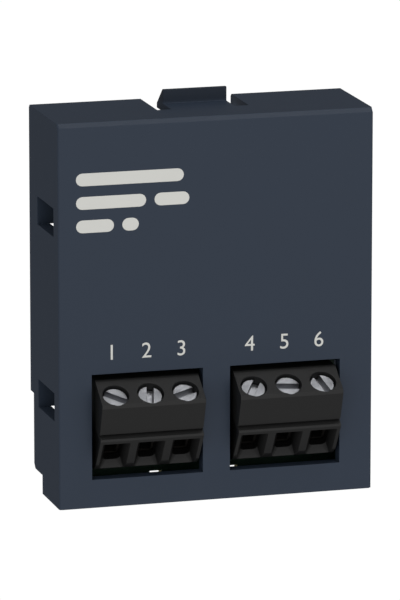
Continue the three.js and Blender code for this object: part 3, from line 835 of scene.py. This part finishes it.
def build_two_ended(node):
    material, cap, slot = TWO_ENDED[node]
    seat, half_length, half_width, tall = seat_of(node)
    shape = bmesh.new()
    if slot == "ceramic":
        add_capped(shape, seat, half_length, half_width, tall, cap * MM)
    else:
        add_strapped(shape, seat, half_length, half_width, tall, cap * MM)
    face_outward(shape)
    return make_piece(f"{node}_body", shape, [material, TIN, SILK_INK], "module", [node])


def build_inductor():
    """A choke: two ferrite flanges with cut corners, and bare copper turns between them."""
    node = "power_inductor"
    seat, half, _, tall = seat_of(node)
    cut = 0.8 * MM
    corners = [(half, half - cut), (half - cut, half), (cut - half, half), (-half, half - cut),
               (-half, cut - half), (cut - half, -half), (half - cut, -half), (half, cut - half)]
    shape = bmesh.new()
    for low, high in ((SOLDER_GAP, SOLDER_GAP + 0.7 * MM), (tall - 0.7 * MM, tall)):
        outline = [seat.point(u, v, low) for u, v in corners]
        add_prism(shape, outline, (0, 0, 0), (0, seat.out * (high - low), 0))
    round_edges(shape, 0.08 * MM, 2)
    for face in shape.faces:
        face.material_index = 0
    before = set(shape.faces)
    turns = 7
    start, wire = SOLDER_GAP + 0.68 * MM, 0.2 * MM
    profile = []
    for turn in range(turns):
        for step in range(5):
            angle = math.pi * step / 4
            radius = 2.08 * MM + 0.11 * MM * math.sin(angle)
            profile.append((radius, start + wire * (turn + 0.5 - 0.5 * math.cos(angle))))
    add_lathe(shape, profile, seat.point(0, 0, 0), (0, seat.out, 0), 40)
    for face in set(shape.faces) - before:
        face.material_index = 1
    face_outward(shape)
    return make_piece("inductor_body", shape, [FERRITE, COPPER_WIRE], "module", [node])


def build_transformer():
    """A small transformer: a ferrite frame round a taped winding, on a bobbin with pins."""
    node = "supply_transformer"
    seat, half_length, half_width, tall = seat_of(node)
    shape = bmesh.new()
    core_low = SOLDER_GAP + 0.6 * MM
    core = half_width - 0.6 * MM
    window = 2.75 * MM
    for side in (-1, 1):
        leg = one_side(side, half_length, window)
        seat.block(shape, leg, even(core), (core_low, tall), 0, 0.1 * MM)
    yoke = window + 0.2 * MM
    seat.block(shape, even(yoke), even(core), (tall - 0.45 * MM, tall), 0, 0.06 * MM)
    seat.block(shape, even(2.7 * MM), even(half_width),
               (SOLDER_GAP + 1.0 * MM, tall - 0.46 * MM), 1, 0.45 * MM)
    length = even(half_length - 0.2 * MM)
    width = even(half_width - 0.1 * MM)
    seat.block(shape, length, width, (SOLDER_GAP + 0.1 * MM, SOLDER_GAP + 0.69 * MM), 2, 0.08 * MM)
    for side in (-1, 1):
        for place in range(4):
            u = (place - 1.5) * 2.0 * MM
            v = one_side(side, half_width - 0.5 * MM, half_width - 0.08 * MM)
            pin = (u - 0.25 * MM, u + 0.25 * MM)
            seat.block(shape, pin, v, (SOLDER_GAP, SOLDER_GAP + 0.3 * MM), 3, 0.04 * MM)
    face_outward(shape)
    materials = [FERRITE, COIL_TAPE, CONNECTOR_PLASTIC, TIN]
    return make_piece("transformer_body", shape, materials, "module", [node])


# Small resistors and capacitors on the rear face: x and z in millimetres, turned upright or not,
# and resistor or not.
SMALL_PARTS = [
    (-12.4, 14.0, True, True), (-10.6, 14.0, True, True), (-8.8, 14.0, True, False), (-7.0, 14.0, True, True),
    (-12.4, 17.2, True, False), (-10.6, 17.2, True, True), (-8.8, 17.2, True, True),
    (-5.0, 17.6, True, False),
    (-9.4, 20.6, False, True), (-9.4, 22.4, False, True), (-12.6, 21.6, True, False),
    (3.3, 16.4, True, False), (3.3, 13.4, True, True), (11.6, 14.6, True, True),
    (-8.4, 30.6, False, True), (-8.4, 32.6, False, True), (-12.0, 31.4, True, False),
    (-9.0, 34.4, False, False),
    (1.2, 30.0, False, True), (-0.4, 37.2, False, False), (13.2, 28.4, True, True), (9.8, 28.6, False, True),
    (-11.465, 6.6, True, True), (-3.7, 6.4, True, True), (3.8, 6.6, True, True), (11.6, 6.4, True, True),
]
SMALL_HALF = (0.8 * MM, 0.4 * MM, 0.5 * MM)


def build_small_parts():
    """The small resistors and capacitors, soldered to their pads."""
    shape = bmesh.new()
    length, width, tall = SMALL_HALF
    for x, z, upright, resistor in SMALL_PARTS:
        seat = Seat(x * MM, z * MM, True, upright)
        height = tall * (0.75 if resistor else 1.3)
        before = set(shape.faces)
        add_capped(shape, seat, length, width, height, 0.3 * MM, low=0.03 * MM)
        if resistor:
            for face in set(shape.faces) - before:
                if face.material_index == 0:
                    face.material_index = 2
    face_outward(shape)
    return make_piece("small_parts", shape, [CERAMIC_BODY, TIN, RESISTOR_TOP], "module")


def add_joint(shape, seat, u, v, height):
    """Adds a solder fillet that rises to a foot."""
    seat.block(shape, u, v, (-0.01 * MM, height), 0, 0.0, 0.08 * MM)


def build_pads():
    """Tinned pads, with solder up to the feet of the chips and of the connector's pins."""
    shape = bmesh.new()
    for node, (count, pitch, leg_width) in CHIPS.items():
        seat, _, half_width, _ = seat_of(node)
        half = leg_width * MM / 2
        for side in (-1, 1):
            foot = one_side(side, half_width - 0.42 * MM, half_width + 0.12 * MM)
            for leg in range(count):
                u = (leg - (count - 1) / 2) * pitch * MM
                add_joint(shape, seat, (u - half * 1.15, u + half * 1.15), foot, SOLDER_GAP + 0.04 * MM)
    for node in TWO_ENDED:
        seat, half_length, half_width, _ = seat_of(node)
        for side in (-1, 1):
            foot = one_side(side, half_length - 0.7 * MM, half_length + 0.25 * MM)
            add_joint(shape, seat, foot, even(half_width * 0.8), SOLDER_GAP + 0.04 * MM)
    length, width, _ = SMALL_HALF
    for x, z, upright, _ in SMALL_PARTS:
        seat = Seat(x * MM, z * MM, True, upright)
        for side in (-1, 1):
            foot = one_side(side, length - 0.2 * MM, length + 0.25 * MM)
            add_joint(shape, seat, foot, even(width * 1.1), 0.16 * MM)
    for number in range(1, 13):
        low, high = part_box(f"connector_pin_{number:02d}")
        upper = number > 6
        end = high.z if upper else low.z
        away = 1 if upper else -1
        seat = Seat((low.x + high.x) / 2, end, True)
        foot = sorted((-away * 1.1 * MM, away * 0.2 * MM))
        add_joint(shape, seat, even(0.42 * MM), foot, 0.12 * MM)
    for node in PINS:
        x, z = pin_middle(node)
        seat = Seat(x, z, False)
        add_lathe(shape, disc(1.2 * MM, 0.03 * MM), seat.point(0, 0, 0), (0, -1, 0), 24)
    for x, z in ((-14.2, 30.4), (14.0, 5.4)):
        place = (x * MM, BOARD_REAR, z * MM)
        add_lathe(shape, disc(0.5 * MM, 0.03 * MM), place, (0, 1, 0), 24)
    face_outward(shape)
    return make_piece("solder_pads", shape, [TIN], "module")


# The x and z of each via, in millimetres.
VIAS = [
    (-6.0, 11.6), (-13.4, 11.8), (-5.6, 20.4), (-4.4, 20.9), (1.6, 20.2), (3.4, 19.2),
    (10.6, 19.6), (12.4, 20.0), (-7.6, 25.4), (-8.6, 26.6), (-8.9, 28.6), (8.4, 26.4),
    (9.2, 24.4), (6.8, 29.8), (0.2, 34.6), (5.2, 37.6), (-2.2, 28.9), (3.1, 29.0),
    (13.4, 33.0), (13.2, 36.6), (-13.8, 24.8), (0.6, 10.8), (0.0, 6.6), (13.6, 9.4),
]


def build_vias():
    """Plated rings round the small holes that join the board's two faces."""
    shape = bmesh.new()
    outer, inner, root, top = 0.34 * MM, 0.18 * MM, -0.01 * MM, 0.03 * MM
    ring = [(outer, root), (outer, top), (inner, top), (inner - 0.01 * MM, root)]
    for x, z in VIAS:
        place = (x * MM, BOARD_REAR, z * MM)
        add_lathe(shape, ring, place, (0, 1, 0), 20)
        before = set(shape.faces)
        add_lathe(shape, disc(0.18 * MM, 0.012 * MM), place, (0, 1, 0), 12)
        for face in set(shape.faces) - before:
            face.material_index = 1
    face_outward(shape)
    return make_piece("vias", shape, [TIN, CONNECTOR_PLASTIC], "module")


# The middle of each terminal block, in millimetres to either side.
BLOCK_X = 7.57


def build_tracks():
    """The copper under the lacquer on the rear face."""
    signal, power = 0.32, 0.8
    pins = [tuple(value / MM for value in pin_middle(node)) for node in PINS]
    shape = bmesh.new()
    for (x, z), target in zip(pins[:3], (-12.4, -10.6, -8.8)):
        add_track(shape, elbow(x, z, target, 13.2), signal)
    add_track(shape, elbow(pins[3][0], pins[3][1], 3.3, 12.6), signal)
    add_track(shape, elbow(pins[4][0], pins[4][1], 6.225, 13.5), signal)
    add_track(shape, elbow(pins[5][0], pins[5][1], 11.6, 13.8), power)
    for x, z in pins:
        nearest = min((-11.465, -3.7, 3.8, 11.6), key=lambda place: abs(place - x))
        if abs(nearest - x) < 1.5:
            add_track(shape, elbow(x, z, nearest, 7.4), signal)
    for side in (-1, 1):
        low_pin = pins[1] if side < 0 else pins[4]
        near, far = side * BLOCK_X - 1.9, side * BLOCK_X + 1.9
        add_track(shape, [(near, 5.2), (near, 7.4), (low_pin[0], 7.9), low_pin], power)
        add_track(shape, [(far, 5.2), (far, 3.0), (0.0, 3.0)], power)
    add_track(shape, [(0.0, 3.0), (0.0, 6.6)], power)
    amplifier = [-0.6 + (leg - 1.5) * 1.27 for leg in range(4)]
    for x, target in zip(amplifier, (-3.0, -1.0, 1.0, 3.0)):
        add_track(shape, elbow(x, 18.2, target, 19.9), signal)
    for x, target in zip(amplifier, (-7.0, -6.0, 0.6, 3.3)):
        add_track(shape, elbow(x, 13.0, target, 11.6 if target < 1 else 12.6), signal)
    for leg in range(8):
        x = 7.2 + (leg - 3.5) * 0.65
        if leg == 0:
            add_track(shape, elbow(x, 19.2, 5.0, 20.0), 0.25)
        elif leg % 2:
            add_track(shape, elbow(x, 19.2, x + 1.2, 21.8 + 0.9 * leg / 2), 0.25)
        if leg in (4, 6):
            add_track(shape, elbow(x, 13.6, x + 0.6, 11.2), 0.25)
    memory = [-3.4 + (leg - 1.5) * 1.27 for leg in range(4)]
    for x, target in zip(memory, (-5.0, -5.0, -3.0, -1.0)):
        add_track(shape, elbow(target, 28.1, x, 30.6), signal)
    for x, target in zip(memory, (-7.6, -7.6, 0.2, 0.2)):
        add_track(shape, elbow(x, 35.8, target, 37.0 if target < 0 else 34.6), signal)
    for x, target in ((3.0, 6.5), (5.0, 8.8)):
        add_track(shape, elbow(x, 28.1, target, 31.0), power)
    add_track(shape, elbow(8.8, 35.8, 5.2, 37.6), power)
    add_track(shape, [(4.2, 33.4), (6.5, 33.4)], power)
    add_track(shape, elbow(1.0, 28.1, 1.2, 30.0), signal)
    for x, z, upright, _ in SMALL_PARTS[4:13]:
        end = (x, z + 1.9) if upright else (x + 2.4, z)
        add_track(shape, [(x, z), end], signal)
    add_track(shape, [(-14.6, 4.0), (-14.6, 27.0), (-14.0, 28.2), (-14.0, 33.0)], power)
    add_track(shape, [(14.6, 4.0), (14.6, 14.8)], power)
    add_track(shape, [(-10.2, 37.0), (-12.0, 38.2), (3.6, 38.2), (5.2, 37.6)], signal)
    face_outward(shape)
    return make_piece("tracks", shape, [TRACK_MASK], "module")


def build_outlines():
    """White printed outlines round the components on the rear face."""
    shape = bmesh.new()
    line = 0.13 * MM
    lift = (-0.01 * MM, 0.025 * MM)

    def frame_round(seat, half_u, half_v):
        for side in (-1, 1):
            edge = one_side(side, half_u, half_u - line)
            seat.block(shape, edge, even(half_v), lift)
            edge = one_side(side, half_v, half_v - line)
            seat.block(shape, even(half_u), edge, lift)

    for node in CHIPS:
        seat, half_length, half_width, _ = seat_of(node)
        if seat.out > 0:
            edge = half_width - LEG_REACH - 0.25 * MM
            for side in (-1, 1):
                span = one_side(side, half_length + 0.2 * MM, half_length + 0.2 * MM + line)
                seat.block(shape, span, even(edge), lift)
            dot = seat.point(-half_length - 0.55 * MM, -half_width + 0.3 * MM, 0)
            add_lathe(shape, [(0.2 * MM, lift[0]), (0.2 * MM, lift[1])], dot, (0, 1, 0), 16)
    for node in TWO_ENDED:
        seat, half_length, half_width, _ = seat_of(node)
        if seat.out > 0:
            frame_round(seat, half_length + 0.4 * MM, half_width + 0.25 * MM)
    low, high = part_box("connector_shell")
    seat = Seat((low.x + high.x) / 2, (low.z + high.z) / 2)
    frame_round(seat, (high.x - low.x) / 2 + 0.3 * MM, (high.z - low.z) / 2 + 0.3 * MM)
    face_outward(shape)
    return make_piece("board_outlines", shape, [SILK_INK], "module")


def build_connector():
    """The shell keeps its CAD shape. Each pin gets a pointed end."""
    dress("connector_shell", CONNECTOR_PLASTIC)
    for number in range(1, 13):
        node = f"connector_pin_{number:02d}"
        shape = cad_shape(node)
        rear = max(vert.co.y for vert in shape.verts)

        def at_tip(edge):
            return middle(edge).y > rear - 0.01 * MM

        round_edges(shape, 0.12 * MM, 1, chosen=at_tip)
        face_outward(shape)
        make_piece(f"pin_{number:02d}", shape, [GOLD], "module", [node])


def build_all():
    build_housing()
    build_clip()
    build_printed_bars()
    build_way_numbers()
    for side in ("left", "right"):
        dress(f"terminal_block_{side}", TERMINAL_PLASTIC)
    for number in range(1, 7):
        build_screw(number)
    for node in CAGES:
        dress(node, CAGE_PAINTED_SHADE_METAL)
    for node in PINS:
        dress(node, TIN)
    build_board()
    build_solder()
    build_pads()
    build_vias()
    build_tracks()
    build_outlines()
    build_connector()
    for node in CHIPS:
        build_chip(node)
    for node in TWO_ENDED:
        build_two_ended(node)
    build_small_parts()
    build_inductor()
    build_transformer()


# ---------------------------------------------------------------- stage, light and camera


# The sky's strength level with the module, how it changes with direction, and its darkest value.
SKY_MIDDLE = 0.55
SKY_SLOPE = (-0.12, -0.48, 0.1)
SKY_LEAST = 0.08


def build_stage():
    """A white floor that runs on far behind the module and shows no shadow."""
    size = 6.0
    shape = bmesh.new()
    corners = [(-size, -size), (size, -size), (size, size), (-size, size)]
    shape.faces.new([shape.verts.new((x, y, 0)) for x, y in corners])
    mesh = bpy.data.meshes.new("floor")
    shape.to_mesh(mesh)
    shape.free()
    floor = bpy.data.objects.new("floor", mesh)
    floor.location.z = HOUSING_LOW.z
    bpy.context.scene.collection.objects.link(floor)
    shader = Shader("floor_white")
    shader.set(Base_Color=(0.0, 0.0, 0.0, 1.0), Roughness=1.0, Specular_IOR_Level=0.0)
    shader.set(Emission_Color=(1.0, 1.0, 1.0, 1.0), Emission_Strength=1.02)
    mesh.materials.append(shader.material)
    # Its own glow makes it white in the picture, and none of it falls on the module.
    floor.visible_diffuse = False
    floor.visible_glossy = False
    floor.visible_shadow = False


def add_light(name, azimuth, elevation, distance, size, power):
    """A square soft light aimed at the middle of the module."""
    light = bpy.data.lights.new(name, "AREA")
    light.size = size
    light.energy = power
    lamp = bpy.data.objects.new(name, light)
    turn, rise = math.radians(azimuth), math.radians(elevation)
    back = Vector((math.sin(turn) * math.cos(rise), -math.cos(turn) * math.cos(rise), math.sin(rise)))
    lamp.location = (HOUSING_LOW + HOUSING_HIGH) / 2 + back * distance
    lamp.rotation_euler = (-back).to_track_quat("-Z", "Y").to_euler()
    bpy.context.scene.collection.objects.link(lamp)


def build_lights():
    """A pale sky, brightest in front, with soft lamps overhead, in front, behind and beside.

    The rear lamp stands below the floor, which casts no shadow, and lights the board.
    """
    world = bpy.data.worlds.new("studio")
    bpy.context.scene.world = world
    world.use_nodes = True
    nodes, links = world.node_tree.nodes, world.node_tree.links
    place = nodes.new("ShaderNodeTexCoord")
    slope = nodes.new("ShaderNodeVectorMath")
    slope.operation = "DOT_PRODUCT"
    slope.inputs[1].default_value = SKY_SLOPE
    level = nodes.new("ShaderNodeMapRange")
    level.inputs["From Min"].default_value = -1.0
    level.inputs["From Max"].default_value = 1.0
    level.inputs["To Min"].default_value = SKY_MIDDLE - 1.0
    level.inputs["To Max"].default_value = SKY_MIDDLE + 1.0
    least = nodes.new("ShaderNodeMath")
    least.operation = "MAXIMUM"
    least.inputs[1].default_value = SKY_LEAST
    links.new(place.outputs["Generated"], slope.inputs[0])
    links.new(slope.outputs["Value"], level.inputs["Value"])
    links.new(level.outputs["Result"], least.inputs[0])
    background = nodes["Background"]
    background.inputs["Color"].default_value = (1.0, 1.0, 1.0, 1.0)
    links.new(least.outputs["Value"], background.inputs["Strength"])
    add_light("overhead", 50, 70, 0.6, 0.19, 0.7)
    add_light("front", 16, 0, 0.8, 0.35, 0.5)
    add_light("rear", 165, -48, 0.7, 0.5, 4.6)
    add_light("rear_side", 112, 8, 0.7, 0.3, 0.7)
    bpy.context.scene.view_settings.view_transform = "Standard"


def build_camera():
    camera = bpy.data.cameras.new("camera")
    camera.lens = VIEW_LENS
    camera.sensor_width = 36.0
    camera.clip_start = 0.01
    camera.clip_end = 20.0
    viewer = bpy.data.objects.new("camera", camera)
    turn, rise = math.radians(VIEW_AZIMUTH), math.radians(VIEW_ELEVATION)
    back = Vector((math.sin(turn) * math.cos(rise), -math.cos(turn) * math.cos(rise), math.sin(rise)))
    centre = (HOUSING_LOW + HOUSING_HIGH) / 2 + VIEW_SHIFT
    viewer.location = centre + back * VIEW_DISTANCE
    viewer.rotation_euler = (-back).to_track_quat("-Z", "Y").to_euler()
    bpy.context.scene.collection.objects.link(viewer)
    bpy.context.scene.camera = viewer


build_camera()
build_all()
build_stage()
build_lights()
